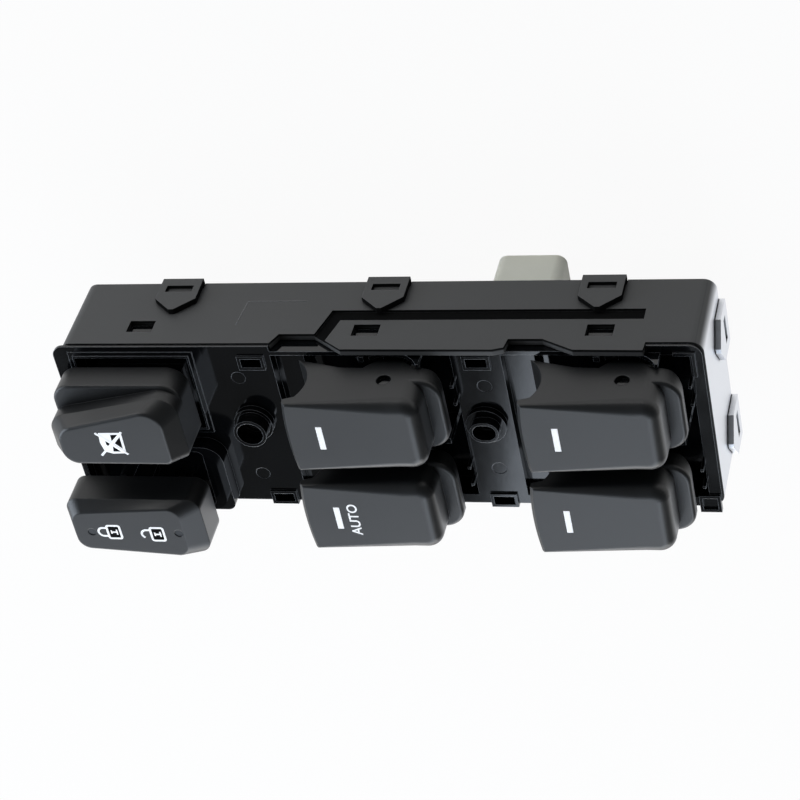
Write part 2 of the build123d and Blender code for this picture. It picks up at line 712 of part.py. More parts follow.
# Window knob, drawn about its pivot axis
with BuildPart() as window_knob:
    # Skirt with the step at its end
    with BuildSketch(Plane.XY.offset(-ear_radius - cut_margin)):
        with Locations(((body_split + skirt_end) / 2, 0)):
            Rectangle(skirt_end - body_split, knob_width)
        fillet(vertices().group_by(Axis.X)[-1], skirt_corner)
    extrude(amount=ear_radius + cut_margin + ledge_rise)
    fillet(edges().group_by(Axis.Z)[-1].sort_by(Axis.X)[-1], ledge_round)
    # Rear of the body, with its rounded end
    with BuildSketch(Plane.XY.offset(-ledge_rise)):
        with Locations(((body_split + body_end) / 2, 0)):
            Rectangle(body_end - body_split, knob_width)
        fillet(vertices().group_by(Axis.X)[-1], body_corner)
    extrude(amount=knob_rise + ledge_rise)
    fillet(edges().group_by(Axis.Z)[-1].sort_by(Axis.X)[-1], top_round)
    # Front of the body, with the bowed lip
    with BuildSketch(Plane.XY.offset(-ear_radius - cut_margin)):
        with BuildLine():
            Polyline(
                (knob_tip, -knob_width / 2),
                (body_split, -knob_width / 2),
                (body_split, knob_width / 2),
                (knob_tip, knob_width / 2),
            )
            ThreePointArc(
                (knob_tip, knob_width / 2),
                (knob_tip - lip_bow, 0),
                (knob_tip, -knob_width / 2),
            )
        make_face()
    extrude(amount=ear_radius + cut_margin + knob_rise)
    chamfer(edges().group_by(Axis.Z)[-1].sort_by(Axis.X)[0], lip_bevel)
    # Round of the long edges, which grows from the lip to the rounded end
    for side in (1, -1):
        for x, radius in ((knob_tip - lip_bow - cut_margin, lip_round), (body_split, top_round)):
            with BuildSketch(Plane(origin=(x, 0, 0), x_dir=(0, side, 0), z_dir=(side, 0, 0))):
                edge, top = knob_width / 2, knob_rise
                with BuildLine():
                    Polyline(
                        (edge - radius, top),
                        (edge - radius, top + radius),
                        (edge + radius, top + radius),
                        (edge + radius, top - radius),
                        (edge, top - radius),
                    )
                    CenterArc((edge - radius, top - radius), radius, 0, 90)
                make_face()
        loft(ruled=True, mode=Mode.SUBTRACT)
    # Side outline: finger scoop, belly, ear round the pivot and rounded heel
    with BuildSketch(Plane.XZ):
        with BuildLine():
            ear_x = (ear_radius**2 - belly**2) ** 0.5
            Polyline(
                (skirt_end, knob_rise),
                (knob_tip - lip_bow - cut_margin, knob_rise),
                (knob_tip - lip_bow - cut_margin, lip_edge),
                lip_under,
            )
            ThreePointArc(lip_under, scoop_mid, skirt_tip)
            Polyline(skirt_tip, skirt_foot, (-ear_x, belly))
            ThreePointArc((-ear_x, belly), (0, -ear_radius), (ear_x, belly))
            Line((ear_x, belly), (skirt_end - heel_round, belly))
            ThreePointArc(
                (skirt_end - heel_round, belly),
                (skirt_end - heel_round * (1 - 0.5**0.5), belly + heel_round * (1 - 0.5**0.5)),
                (skirt_end, belly + heel_round),
            )
            Line((skirt_end, belly + heel_round), (skirt_end, knob_rise))
        make_face()
    extrude(amount=knob_width, both=True, mode=Mode.INTERSECT)
    # Hollow of the body, and the wider one of the skirt
    for left, right, floor, radius in (
        (cavity_left, body_end - knob_wall, knob_rise - knob_roof, body_corner - knob_wall),
        (cavity_left, skirt_end - knob_wall, ledge_rise - knob_wall, skirt_corner - knob_wall),
    ):
        with BuildSketch(Plane.XY.offset(-ear_radius - cut_margin)):
            with Locations(((left + right) / 2, 0)):
                Rectangle(right - left, knob_inner)
            fillet(vertices().group_by(Axis.X)[-1], radius)
        extrude(amount=floor + ear_radius + cut_margin, mode=Mode.SUBTRACT)
    # Pivot holes in the two side walls
    for side in (1, -1):
        with BuildSketch(side_plane(side * knob_width / 2)):
            Circle(pin_radius + pivot_fit)
        extrude(amount=side * knob_wall, mode=Mode.SUBTRACT)
    # Lever with a round tip
    with BuildSketch(Plane.XZ):
        with Locations((0, (knob_rise - knob_roof - lever_reach + lever_tip_radius) / 2)):
            Rectangle(lever_thick, knob_rise - knob_roof + lever_reach - lever_tip_radius)
        with Locations((0, lever_tip_radius - lever_reach)):
            Circle(lever_tip_radius)
    extrude(amount=lever_width / 2, both=True)
    # Slot for the indicator bar
    with BuildSketch(Plane.XY.offset(knob_rise)):
        with Locations((bar_x, 0)):
            Rectangle(bar_width + 2 * bar_fit, bar_length + 2 * bar_fit)
    extrude(amount=-knob_roof, mode=Mode.SUBTRACT)

# Indicator bar: light guide that shows as a white line in the knob
with BuildPart() as indicator_bar:
    with BuildSketch(Plane.XY.offset(knob_rise)):
        with Locations((bar_x, 0)):
            Rectangle(bar_width, bar_length)
    extrude(amount=-bar_depth)

# Slider on the board, with the fork round the lever's tip
with BuildPart() as slider:
    with BuildSketch(Plane.XY.offset(slider_under - pivot_z)):
        Rectangle(slider_length, slider_width)
    extrude(amount=slider_thick + slider_fork)
    with BuildSketch(Plane.XY.offset(fork_floor - pivot_z)):
        Rectangle(2 * (lever_tip_radius + slide_fit), slider_width)
    extrude(amount=slider_fork, mode=Mode.SUBTRACT)

# Wiper contact under the slider
with BuildPart() as wiper:
    with BuildSketch(Plane.XY.offset(slider_under - wiper_thick - pivot_z)):
        with GridLocations(0, slider_width - 2 * wiper_arm, 1, 2):
            Rectangle(wiper_length, wiper_arm)
        Rectangle(wiper_arm, slider_width - wiper_arm)
    extrude(amount=wiper_thick)

# Base of the slide switch: plate and two rails that guide the slider
with BuildPart() as slide_base:
    with BuildSketch(Plane.XY.offset(board_top - pivot_z)):
        Rectangle(base_length, slider_width + 2 * (slide_fit + rail_thick))
    extrude(amount=slide_base_top - board_top)
    with BuildSketch(Plane.XY.offset(slide_base_top - pivot_z)):
        with GridLocations(0, slider_width + 2 * slide_fit + rail_thick, 1, 2):
            Rectangle(base_length, rail_thick)
    extrude(amount=fork_floor - slide_base_top)

# One knob, bar, slider, wiper and slide switch at each place
knob_set = {
    "knob": window_knob,
    "indicator": indicator_bar,
    "slider": slider,
    "wiper": wiper,
    "slide_base": slide_base,
}
for place, (place_x, place_y) in knob_places.items():
    for piece, pattern in knob_set.items():
        with BuildPart() as copy:
            with Locations((place_x, place_y, pivot_z)):
                add(pattern.part)
        copy.part.label = f"{place}_{piece}"
        export_step(copy.part, f"parts/{place}_{piece}.step")


def outline(height, corners, radii):
    """Sketch a flat outline with rounded corners at one height."""
    with BuildSketch(Plane.XY.offset(height)) as flat:
        with BuildLine():
            Polyline(corners, close=True)
        make_face()
        for corner, radius in zip(corners, radii):
            nearest = flat.vertices().sort_by_distance((corner[0], corner[1], height))[0]
            fillet(nearest, radius)
    return flat.sketch


# Window lock button: base with a shelf, and a body whose back runs askew over it
lock_corners = [
    (lock_left - lock_overhang, lock_front),
    (lock_right, lock_front),
    (lock_right, lock_back),
    (lock_left - lock_overhang, lock_back - lock_skew),
]
lock_top_corners = [
    (lock_corners[0][0] + lock_bevel, lock_front + lock_bevel_front),
    (lock_right - lock_bevel, lock_front + lock_bevel_front),
    (lock_right - lock_bevel, lock_back - lock_bevel_front),
    (lock_corners[3][0] + lock_bevel, lock_corners[3][1] - lock_bevel_front),
]
lock_base_corners = [
    (lock_left, lock_front),
    (lock_right, lock_front),
    (lock_right, lock_back),
    (lock_left, lock_back),
]
lock_hollow_corners = [
    (lock_left + lock_wall, lock_front + lock_wall),
    (lock_right - lock_wall, lock_front + lock_wall),
    (lock_right - lock_wall, lock_back - lock_wall),
    (lock_left + lock_wall, lock_back - lock_wall),
]
lock_hollow_radii = [max(radius - lock_wall, lock_top_round) for radius in lock_base_radii]
with BuildPart() as window_lock_button:
    extrude(outline(lock_foot, lock_base_corners, lock_base_radii), amount=lock_shelf - lock_foot)
    fillet(edges().group_by(Axis.Z)[-1], shelf_round)
    lock_seat = outline(lock_shelf - shelf_round, lock_corners, lock_radii)
    extrude(lock_seat, amount=lock_ridge - lock_shelf + shelf_round)
    lock_bevels = [
        outline(lock_ridge, lock_corners, lock_radii),
        outline(lock_top, lock_top_corners, lock_radii),
    ]
    loft(lock_bevels, ruled=True)
    fillet(edges().group_by(Axis.Z)[-1], lock_top_round)
    # Hollow, with the guide ring and the stem that stay in it
    lock_hollow = outline(lock_foot, lock_hollow_corners, lock_hollow_radii)
    extrude(lock_hollow, amount=lock_shelf - lock_foot - lock_wall, mode=Mode.SUBTRACT)
    with BuildSketch(Plane.XY.offset(lock_foot)):
        with Locations((guide_x, guide_y)):
            Rectangle(guide_length, guide_width)
    extrude(amount=lock_top - lock_foot - lock_wall, mode=Mode.SUBTRACT)
    with BuildSketch(Plane.XY.offset(-guide_drop)):
        with Locations((guide_x, guide_y)):
            Rectangle(guide_length, guide_width)
            Rectangle(guide_length - 2 * guide_wall, guide_width - 2 * guide_wall, mode=Mode.SUBTRACT)
            Circle(stem_radius)
    extrude(amount=lock_top - lock_wall + guide_drop)
window_lock_button.part.label = "window_lock_button"
export_step(window_lock_button.part, "parts/window_lock_button.step")

# Door lock rocker: shell with bevels that widen to the right
rocker_corners = [
    (rocker_left, rocker_front),
    (rocker_right, rocker_front - rocker_skew),
    (rocker_right, rocker_back),
    (rocker_left, rocker_back),
]
rocker_top_corners = [
    (rocker_left + rocker_bevel_left, rocker_front + rocker_bevel_front),
    (rocker_right - rocker_bevel_right, rocker_front - rocker_skew + rocker_bevel_front),
    (rocker_right - rocker_bevel_right, rocker_back - rocker_bevel_front),
    (rocker_left + rocker_bevel_left, rocker_back - rocker_bevel_back),
]
rocker_radii = [rocker_corner] * 4
rocker_middle = (rocker_left + rocker_right) / 2
with BuildPart() as door_lock_rocker:
    extrude(outline(rocker_foot, rocker_corners, rocker_radii), amount=rocker_ridge - rocker_foot)
    rocker_bevels = [
        outline(rocker_ridge, rocker_corners, rocker_radii),
        outline(rocker_top, rocker_top_corners, rocker_radii),
    ]
    loft(rocker_bevels, ruled=True)
    fillet(edges().group_by(Axis.Z)[-1], rocker_top_round)
    with BuildSketch(Plane.XY.offset(rocker_foot)):
        with Locations((rocker_middle, rocker_y)):
            RectangleRounded(
                rocker_right - rocker_left - 2 * rocker_wall,
                rocker_width - 2 * rocker_wall,
                rocker_corner - rocker_wall,
            )
    extrude(amount=rocker_ridge - rocker_foot - rocker_wall / 2, mode=Mode.SUBTRACT)
    # Ears that carry the pivot, and pads that press the plungers
    for side in (1, -1):
        with BuildSketch(side_plane(rocker_y + side * rocker_width / 2 - side * ear_inset)):
            with Locations((rocker_pivot_x, rocker_pivot_z)):
                Circle(rocker_ear_radius)
        extrude(amount=side * (rocker_wall - ear_inset))
        with BuildSketch(side_plane(rocker_y + side * (rocker_width / 2 - rocker_wall))):
            with Locations((rocker_pivot_x, rocker_pivot_z)):
                Circle(pin_radius + pivot_fit)
        extrude(amount=-side * (rocker_wall - pin_recess + plunger_fit), mode=Mode.SUBTRACT)
    with BuildSketch(Plane.XY.offset(pad_bottom)):
        with Locations([(x, rocker_y) for x in plunger_places.values()]):
            Circle(pad_radius)
    extrude(amount=rocker_ridge - pad_bottom)
    # Seats of the two lamp lenses
    with BuildSketch(Plane.XY.offset(rocker_top)):
        with Locations([(rocker_pivot_x + side * lamp_offset, lamp_y) for side in (1, -1)]):
            Circle(lamp_radius + bar_fit)
    extrude(amount=-lamp_depth, mode=Mode.SUBTRACT)
door_lock_rocker.part.label = "door_lock_rocker"
export_step(door_lock_rocker.part, "parts/door_lock_rocker.step")

# Lamp lenses in the rocker
with BuildPart() as rocker_lamp_lenses:
    with BuildSketch(Plane.XY.offset(rocker_top - lamp_sink)):
        with Locations([(rocker_pivot_x + side * lamp_offset, lamp_y) for side in (1, -1)]):
            Circle(lamp_radius)
    extrude(amount=lamp_sink - lamp_depth)
rocker_lamp_lenses.part.label = "rocker_lamp_lenses"
export_step(rocker_lamp_lenses.part, "parts/rocker_lamp_lenses.step")

# Tact switches on the board and the plungers that press them
tact_top = board_top + tact_height
with BuildPart() as tact_switch:
    with BuildSketch(Plane.XY.offset(board_top)):
        Rectangle(tact_size, tact_size)
    extrude(amount=tact_height)
    with BuildSketch(Plane.XY.offset(tact_top)):
        Circle(plunger_radius + plunger_fit)
    extrude(amount=-tact_bore_depth, mode=Mode.SUBTRACT)
tact_places = {"window_lock": (guide_x, guide_y, -guide_drop - plunger_fit)}
for name, place_x in plunger_places.items():
    tact_places[f"door_{name}"] = (place_x, rocker_y, pad_bottom - seat_gap)
for name, (place_x, place_y, plunger_top) in tact_places.items():
    with BuildPart() as tact_body:
        with Locations((place_x, place_y)):
            add(tact_switch.part)
    tact_body.part.label = f"{name}_tact_switch"
    export_step(tact_body.part, f"parts/{name}_tact_switch.step")
    with BuildPart() as plunger:
        with BuildSketch(Plane.XY.offset(tact_top - tact_insert)):
            with Locations((place_x, place_y)):
                Circle(plunger_radius)
        extrude(amount=plunger_top - tact_top + tact_insert)
    plunger.part.label = f"{name}_plunger"
    export_step(plunger.part, f"parts/{name}_plunger.step")

# Connector: shroud under the board, open at its mouth
with BuildPart() as connector_housing:
    with BuildSketch(Plane.XY.offset(plug_mouth)):
        with Locations((plug_x, plug_y)):
            RectangleRounded(plug_length, plug_width, plug_corner)
    extrude(amount=board_under - plug_mouth)
    with BuildSketch(Plane.XY.offset(plug_mouth)):
        with Locations((plug_x, plug_y)):
            RectangleRounded(plug_length - 2 * plug_wall, plug_width - 2 * plug_wall, plug_corner - plug_wall / 2)
    extrude(amount=plug_floor - plug_mouth, mode=Mode.SUBTRACT)
    with BuildSketch(Plane.XY.offset(plug_floor)):
        with Locations((plug_x, plug_y)):
            with GridLocations(pin_pitch_x, pin_pitch_y, pin_columns, 2):
                Rectangle(pin_size + 2 * bar_fit, pin_size + 2 * bar_fit)
    extrude(amount=board_under - plug_floor, mode=Mode.SUBTRACT)
    # Catch on the outer long side
    with BuildSketch(side_plane(plug_y - plug_width / 2)):
        with Locations((plug_x, (plug_mouth + plug_floor) / 2)):
            Rectangle(plug_catch_length, plug_catch_height)
    extrude(amount=plug_wall)
connector_housing.part.label = "connector_housing"
export_step(connector_housing.part, "parts/connector_housing.step")

with BuildPart() as connector_pins:
    with BuildSketch(Plane.XY.offset(pin_tip)):
        with Locations((plug_x, plug_y)):
            with GridLocations(pin_pitch_x, pin_pitch_y, pin_columns, 2):
                Rectangle(pin_size, pin_size)
    extrude(amount=board_top + pin_stub - pin_tip)
connector_pins.part.label = "connector_pins"
export_step(connector_pins.part, "parts/connector_pins.step")

# Circuit board, with ways through for the screw sleeves and the pins
with BuildPart() as circuit_board:
    with BuildSketch(Plane.XY.offset(board_under)):
        RectangleRounded(
            frame_length - 2 * board_margin,
            frame_width - 2 * board_margin,
            inner_radius - board_margin,
        )
        with Locations(tube_places):
            Circle(access_radius + access_wall + fit, mode=Mode.SUBTRACT)
        with Locations((plug_x, plug_y)):
            with GridLocations(pin_pitch_x, pin_pitch_y, pin_columns, 2):
                Circle(pin_hole_radius, mode=Mode.SUBTRACT)
    extrude(amount=board_thick)
circuit_board.part.label = "circuit_board"
export_step(circuit_board.part, "parts/circuit_board.step")

# Control chip and the light sources on the board
with BuildPart() as control_chip:
    with BuildSketch(Plane.XY.offset(board_top)):
        with Locations(chip_place):
            Rectangle(chip_size, chip_size)
    extrude(amount=chip_height)
control_chip.part.label = "control_chip"
export_step(control_chip.part, "parts/control_chip.step")

with BuildPart() as board_lamps:
    with BuildSketch(Plane.XY.offset(board_top)):
        with Locations([(x + bar_x, y) for x, y in knob_places.values()]):
            Rectangle(lamp_length, lamp_width)
    extrude(amount=lamp_height)
board_lamps.part.label = "board_lamps"
export_step(board_lamps.part, "parts/board_lamps.step")
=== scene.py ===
import json
import math

import bmesh
import bpy
from mathutils import Matrix, Vector


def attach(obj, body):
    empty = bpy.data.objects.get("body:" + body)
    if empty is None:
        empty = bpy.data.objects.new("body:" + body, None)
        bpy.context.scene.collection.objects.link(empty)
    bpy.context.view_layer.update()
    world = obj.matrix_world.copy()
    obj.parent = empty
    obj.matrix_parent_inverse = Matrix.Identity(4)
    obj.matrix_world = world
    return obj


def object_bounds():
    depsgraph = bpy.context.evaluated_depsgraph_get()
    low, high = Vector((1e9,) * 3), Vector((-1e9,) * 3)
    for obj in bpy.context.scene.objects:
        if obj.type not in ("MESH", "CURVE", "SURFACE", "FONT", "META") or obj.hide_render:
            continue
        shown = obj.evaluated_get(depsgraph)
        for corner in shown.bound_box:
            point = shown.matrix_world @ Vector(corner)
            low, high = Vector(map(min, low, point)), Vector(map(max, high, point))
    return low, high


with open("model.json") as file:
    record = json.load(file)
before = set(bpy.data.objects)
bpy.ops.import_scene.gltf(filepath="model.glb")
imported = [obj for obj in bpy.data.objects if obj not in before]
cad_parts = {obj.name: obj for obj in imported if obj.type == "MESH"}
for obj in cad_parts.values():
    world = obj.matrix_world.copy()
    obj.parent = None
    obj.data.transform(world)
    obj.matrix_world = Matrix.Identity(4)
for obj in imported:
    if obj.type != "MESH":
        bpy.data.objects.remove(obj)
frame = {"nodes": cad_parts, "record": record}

# Everything is measured in millimetres here and made in metres.
MM = 0.001
cad_low, cad_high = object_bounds()

# The camera of the photograph
CAMERA_PLACE = (184.6, 411.3, 467.8)
CAMERA_RIGHT = (0.9600, -0.1798, -0.2144)
CAMERA_UP = (-0.0035, 0.7583, -0.6519)
CAMERA_BACK = (0.2798, 0.6266, 0.7273)
SENSOR = 36.0
FOCAL = 120.03
CLIP_NEAR, CLIP_FAR = 20.0, 20000.0

# Heights of the faces that carry marks, and the side wall with the marking area
KNOB_TOP = 17.1
ROCKER_TOP = 18.8
LOCK_TOP = 17.0
SIDE_WALL = 25.4
# How far a mark reaches under its face and over it, and the step between marks that cross
MARK_SINK = 0.06
MARK_RISE = 0.03
MARK_STEP = 0.005

# Width of the icons' strokes, growth of the letters, and the least cosine that a mitre stretches by
MARK_LINE = 0.6
LETTER_SWELL = 0.06
MITRE_LIMIT = 0.35

# Padlock: its body's left and right edge from the tip of the shackle, the body's half height and
# corner radius, and the radius of the shackle
PADLOCK_BODY = (2.5, 5.9)
PADLOCK_HALF = 2.15
PADLOCK_CORNER = 0.5
SHACKLE = 1.35
# Keyhole, from its middle: where its bar starts and ends, and the place and reach of the two bars
# across it; then the widths of both kinds
KEYHOLE_BAR = (-0.9, 1.0)
KEYHOLE_ENDS = ((-0.7, 0.6), (0.75, 0.85))
KEYHOLE_LINE, KEYHOLE_END_LINE = 0.5, 0.4

# Surroundings and floor; lengths of the floor and the cards are in metres
DIM_ROOM = 0.13
ROOM_TINT = (0.93, 0.97, 1.0, 1)
FLOOR_REACH = 4.0
FLOOR_TONE = 0.8
FLOOR_WHITE = 0.94
CEILING = 0.9
COOL, PLAIN = (0.84, 0.93, 1.05), (1.0, 1.0, 1.0)

# Noise of the moulded materials, and the painted highlight on their edges
GRAIN_DETAIL, GRAIN_ROUGHNESS, GRAIN_STRENGTH = 3.0, 0.6, 0.5
PATCH_DETAIL = 4.0
EDGE_SAMPLES = 6
EDGE_TURN = (0.995, 0.8)
EDGE_GAIN, EDGE_LIFT = 2.2, 0.02

# Satin skin: how flat the view is where it starts and ends to turn bright, from 0 face-on to 1
# edge-on, and how far a control's face looks along X where the skin starts and is full
SHEEN_FACING = (0.42, 0.80)
SHEEN_ALONG_X = (0.4, 0.9)
SHEEN_COLOR = (0.9, 0.92, 0.96, 1)
SHEEN_ROUGHNESS = 0.45

# Painted shade in recesses: how open the darkest spots are and those with their full colour, and
# the share of the colour that the darkest keep
CAVITY_OPEN = (0.25, 0.75)
CAVITY_SHARE = 0.12
CAVITY_SAMPLES = 8

# Housing, in millimetres: the skin sets in before the end wall and covers the tabs that stand on
# it; the cut edges of the side tabs and the floors of the side grooves get painted shade, darker
# than the wall
SKIN_FROM = (76.0, 80.0)
END_WALL = (80.05, 80.35)
SIDE_TABS = (24.6, 24.9)
GROOVES = (25.25, 25.0)
INSIDE = (20.0, 21.0)
# How far a face looks along Y: a cut edge turns away, and a groove's floor looks straight out
TURNED_AWAY = (0.75, 0.35)
FLAT_OUT = (0.9, 0.97)


def put(name, data):
    """New object in the scene."""
    made = bpy.data.objects.new(name, data)
    bpy.context.scene.collection.objects.link(made)
    return made


def placed(axes, place):
    """Matrix of an object with these three axes at this place, in metres."""
    columns = [Vector(axis).normalized() for axis in axes] + [Vector(place)]
    return Matrix([[c[row] for c in columns] for row in range(3)] + [[0, 0, 0, 1]])


def make_camera():
    data = bpy.data.cameras.new("camera")
    data.sensor_width = SENSOR
    data.lens = FOCAL
    data.clip_start, data.clip_end = CLIP_NEAR * MM, CLIP_FAR * MM
    camera = put("camera", data)
    camera.matrix_world = placed((CAMERA_RIGHT, CAMERA_UP, CAMERA_BACK), Vector(CAMERA_PLACE) * MM)
    bpy.context.scene.camera = camera


def card(name, place, out, width, height, radiance, color):
    """Soft light like a lit card; radiance 1 is a white card.

    place is the card's middle and out the direction it faces away from; metres."""
    data = bpy.data.lights.new(name, "AREA")
    data.shape = "RECTANGLE"
    data.size, data.size_y = width, height
    data.energy = radiance * math.pi * width * height
    data.color = color
    lamp = put(name, data)
    out = Vector(out).normalized()
    side = Vector((1, 0, 0)) if abs(out.y) > 0.9 else Vector((0, 1, 0)).cross(out)
    lamp.matrix_world = placed((side, out.cross(side), out), place)
    lamp.visible_camera = False
    return lamp


def ceiling_card(name, left, right, back, front, radiance, color, lean=0.0):
    """Level card over the table; metres. lean turns its sides away from Y, in degrees."""
    middle = ((left + right) / 2, (back + front) / 2, CEILING)
    lamp = card(name, middle, (0, 0, 1), right - left, front - back, radiance, color)
    lamp.matrix_world = lamp.matrix_world @ Matrix.Rotation(math.radians(lean), 4, "Z")


class Graph:
    """Node tree, with short ways to add a node, fill its sockets and join it."""

    def __init__(self, tree):
        self.nodes, self.links = tree.nodes, tree.links

    def fill(self, node, given):
        """Give each socket a value, or link it to the output that stands for one."""
        for socket, value in given.items():
            if isinstance(value, bpy.types.NodeSocket):
                self.links.new(value, node.inputs[socket])
            else:
                node.inputs[socket].default_value = value
        return node

    def add(self, kind, given=None, **settings):
        node = self.nodes.new("ShaderNode" + kind)
        for setting, value in settings.items():
            setattr(node, setting, value)
        return self.fill(node, given or {})

    def ramp(self, value, start, end, low=0.0, high=1.0):
        """Value that runs from low to high while the given one runs from start to end."""
        given = {"Value": value, "From Min": start, "From Max": end, "To Min": low, "To Max": high}
        return self.add("MapRange", given).outputs[0]

    def math(self, operation, first, second):
        return self.add("Math", {0: first, 1: second}, operation=operation).outputs[0]

    def colors(self, amount, first, second):
        given = {"Factor": amount, "A": first, "B": second}
        return self.add("Mix", given, data_type="RGBA").outputs["Result"]

    def shaders(self, amount, first, second):
        return self.add("MixShader", {"Fac": amount, 1: first, 2: second}).outputs[0]


def make_world():
    """White backdrop for the camera, and dim surroundings that the glossy plates mirror."""
    world = bpy.data.worlds.new("studio")
    bpy.context.scene.world = world
    world.use_nodes = True
    graph = Graph(world.node_tree)
    room = graph.fill(graph.nodes["Background"], {"Color": ROOM_TINT, "Strength": DIM_ROOM})
    backdrop = graph.add("Background", {"Color": (1, 1, 1, 1), "Strength": 1.0})
    seen = graph.add("LightPath").outputs["Is Camera Ray"]
    surface = graph.shaders(seen, room.outputs[0], backdrop.outputs[0])
    graph.fill(graph.nodes["World Output"], {"Surface": surface})


def make_floor():
    """Pale floor at the lowest point of the object; it shows white and keeps a trace of shadow."""
    bm = bmesh.new()
    bmesh.ops.create_grid(bm, x_segments=1, y_segments=1, size=FLOOR_REACH)
    mesh = bpy.data.meshes.new("floor")
    bm.to_mesh(mesh)
    bm.free()
    floor = put("floor", mesh)
    floor.location = (0, 0, cad_low.z)
    material = bpy.data.materials.new("floor")
    material.use_nodes = True
    material.node_tree.nodes.clear()
    graph = Graph(material.node_tree)
    # White is for what the camera, a mirror or glass sees, and not for the light on the object
    path = graph.add("LightPath")
    seen = graph.math("MAXIMUM", path.outputs["Is Camera Ray"], path.outputs["Is Glossy Ray"])
    seen = graph.math("MAXIMUM", seen, path.outputs["Is Transmission Ray"])
    matte = graph.add("BsdfDiffuse", {"Color": (*[FLOOR_TONE] * 3, 1)})
    white = graph.add("Emission", {"Strength": 1.0})
    share = graph.math("MULTIPLY", seen, FLOOR_WHITE)
    surface = graph.shaders(share, matte.outputs[0], white.outputs[0])
    graph.add("OutputMaterial", {"Surface": surface})
    mesh.materials.append(material)


def housing_zones(graph, coordinates):
    """Three masks over the housing: how near a spot is to the end wall, how proud of that wall it
    stands, and 0 where the side gets painted shade."""
    spot = graph.add("SeparateXYZ", {0: coordinates["Object"]}).outputs
    facing = graph.add("SeparateXYZ", {0: coordinates["Normal"]}).outputs

    def zone(axis, span):
        return graph.ramp(spot[axis], *[limit * MM for limit in span])

    end, proud = zone("X", SKIN_FROM), zone("X", END_WALL)
    # Painted shade: the cut edges of the side tabs and the floors of the side grooves are made
    # darker than the wall
    tab_edge = graph.math("MULTIPLY", graph.ramp(facing["Y"], *TURNED_AWAY), zone("Y", SIDE_TABS))
    sunk = graph.math("MULTIPLY", zone("Y", GROOVES), zone("Y", INSIDE))
    groove = graph.math("MULTIPLY", sunk, graph.ramp(facing["Y"], *FLAT_OUT))
    unshaded_side = graph.ramp(graph.math("MAXIMUM", tab_edge, groove), 0.0, 1.0, 1.0, 0.0)
    return end, proud, graph.math("MAXIMUM", unshaded_side, end)


def moulded(name, color, roughness, grain=0.4, grain_depth=0.004, patch=14.0, patch_share=0.12,
            rough_share=0.15, edge=0.2, edge_light=0.25, edge_color=None, cavity=0.0, sheen=0.0,
            housing=False, **sockets):
    """Moulded material: fine grain, slow change of tone and gloss, and a painted highlight on
    edges.

    grain, grain_depth, patch, edge and cavity are in millimetres; recesses closer than cavity
    get painted shade, a dark dull colour. Only a finish with a cavity may be the housing's."""
    material = bpy.data.materials.new(name)
    material.use_nodes = True
    graph = Graph(material.node_tree)
    shader = graph.nodes["Principled BSDF"]
    graph.fill(shader, {socket.replace("_", " "): value for socket, value in sockets.items()})
    place = graph.add("TexCoord").outputs
    fine = graph.add("TexNoise", {"Vector": place["Object"], "Scale": 1 / (grain * MM),
                                  "Detail": GRAIN_DETAIL, "Roughness": GRAIN_ROUGHNESS}).outputs[0]
    slow = graph.add("TexNoise", {"Vector": place["Object"], "Scale": 1 / (patch * MM),
                                  "Detail": PATCH_DETAIL}).outputs[0]
    bevel = graph.add("Bevel", {"Radius": edge * MM}, samples=EDGE_SAMPLES).outputs[0]
    bump = graph.add("Bump", {"Strength": GRAIN_STRENGTH, "Distance": grain_depth * MM,
                              "Height": fine, "Normal": bevel}).outputs[0]
    # Tone: two near colours mixed by the slow noise, and a painted highlight that makes it lighter
    # where an edge turns
    tone = graph.colors(slow, (*[c * (1 - patch_share) for c in color], 1),
                        (*[c * (1 + patch_share) for c in color], 1))
    normals = {0: bevel, 1: graph.add("NewGeometry").outputs["True Normal"]}
    turn = graph.add("VectorMath", normals, operation="DOT_PRODUCT").outputs["Value"]
    # Painted highlight: the lighter colour that the edges take
    edge_highlight = edge_color or [min(1.0, c * EDGE_GAIN + EDGE_LIFT) for c in color]
    tone = graph.colors(graph.ramp(turn, *EDGE_TURN, high=edge_light), tone, (*edge_highlight, 1))
    gloss = graph.ramp(slow, 0.0, 1.0, roughness * (1 - rough_share),
                       roughness * (1 + rough_share))
    graph.fill(shader, {"Normal": bump, "Base Color": tone, "Roughness": gloss})
    surface = shader.outputs[0]
    # Painted shade: recesses closer than cavity turn to a dark dull colour, gloss and all
    if cavity:
        recess = graph.add("AmbientOcclusion", {"Distance": cavity * MM}, samples=CAVITY_SAMPLES)
        unshaded_share = graph.ramp(recess.outputs["AO"], *CAVITY_OPEN)
    if housing:
        end, proud, unshaded_side = housing_zones(graph, place)
        unshaded_share = graph.math("MULTIPLY", unshaded_share, unshaded_side)
    if sheen:
        # Satin skin that turns bright where it is seen at a flat angle
        flat = graph.add("LayerWeight", {"Normal": bevel}).outputs["Facing"]
        amount = graph.ramp(flat, *SHEEN_FACING, high=sheen)
        if housing:
            amount = graph.math("MAXIMUM", amount, graph.ramp(proud, 0.0, 1.0, high=sheen))
        else:
            along = graph.add("SeparateXYZ", {0: place["Normal"]}).outputs["X"]
            end = graph.ramp(along, *SHEEN_ALONG_X)
        amount = graph.math("MULTIPLY", amount, end)
        skin = graph.add("BsdfAnisotropic", {"Color": SHEEN_COLOR, "Roughness": SHEEN_ROUGHNESS,
                                             "Normal": bump})
        surface = graph.shaders(amount, surface, skin.outputs[0])
    # Painted shade mixed over the surface in the recesses
    if cavity:
        painted_shade = graph.add("BsdfDiffuse", {"Color": (*[c * CAVITY_SHARE for c in color], 1)})
        surface = graph.shaders(unshaded_share, painted_shade.outputs[0], surface)
    graph.fill(graph.nodes["Material Output"], {"Surface": surface})
    return material
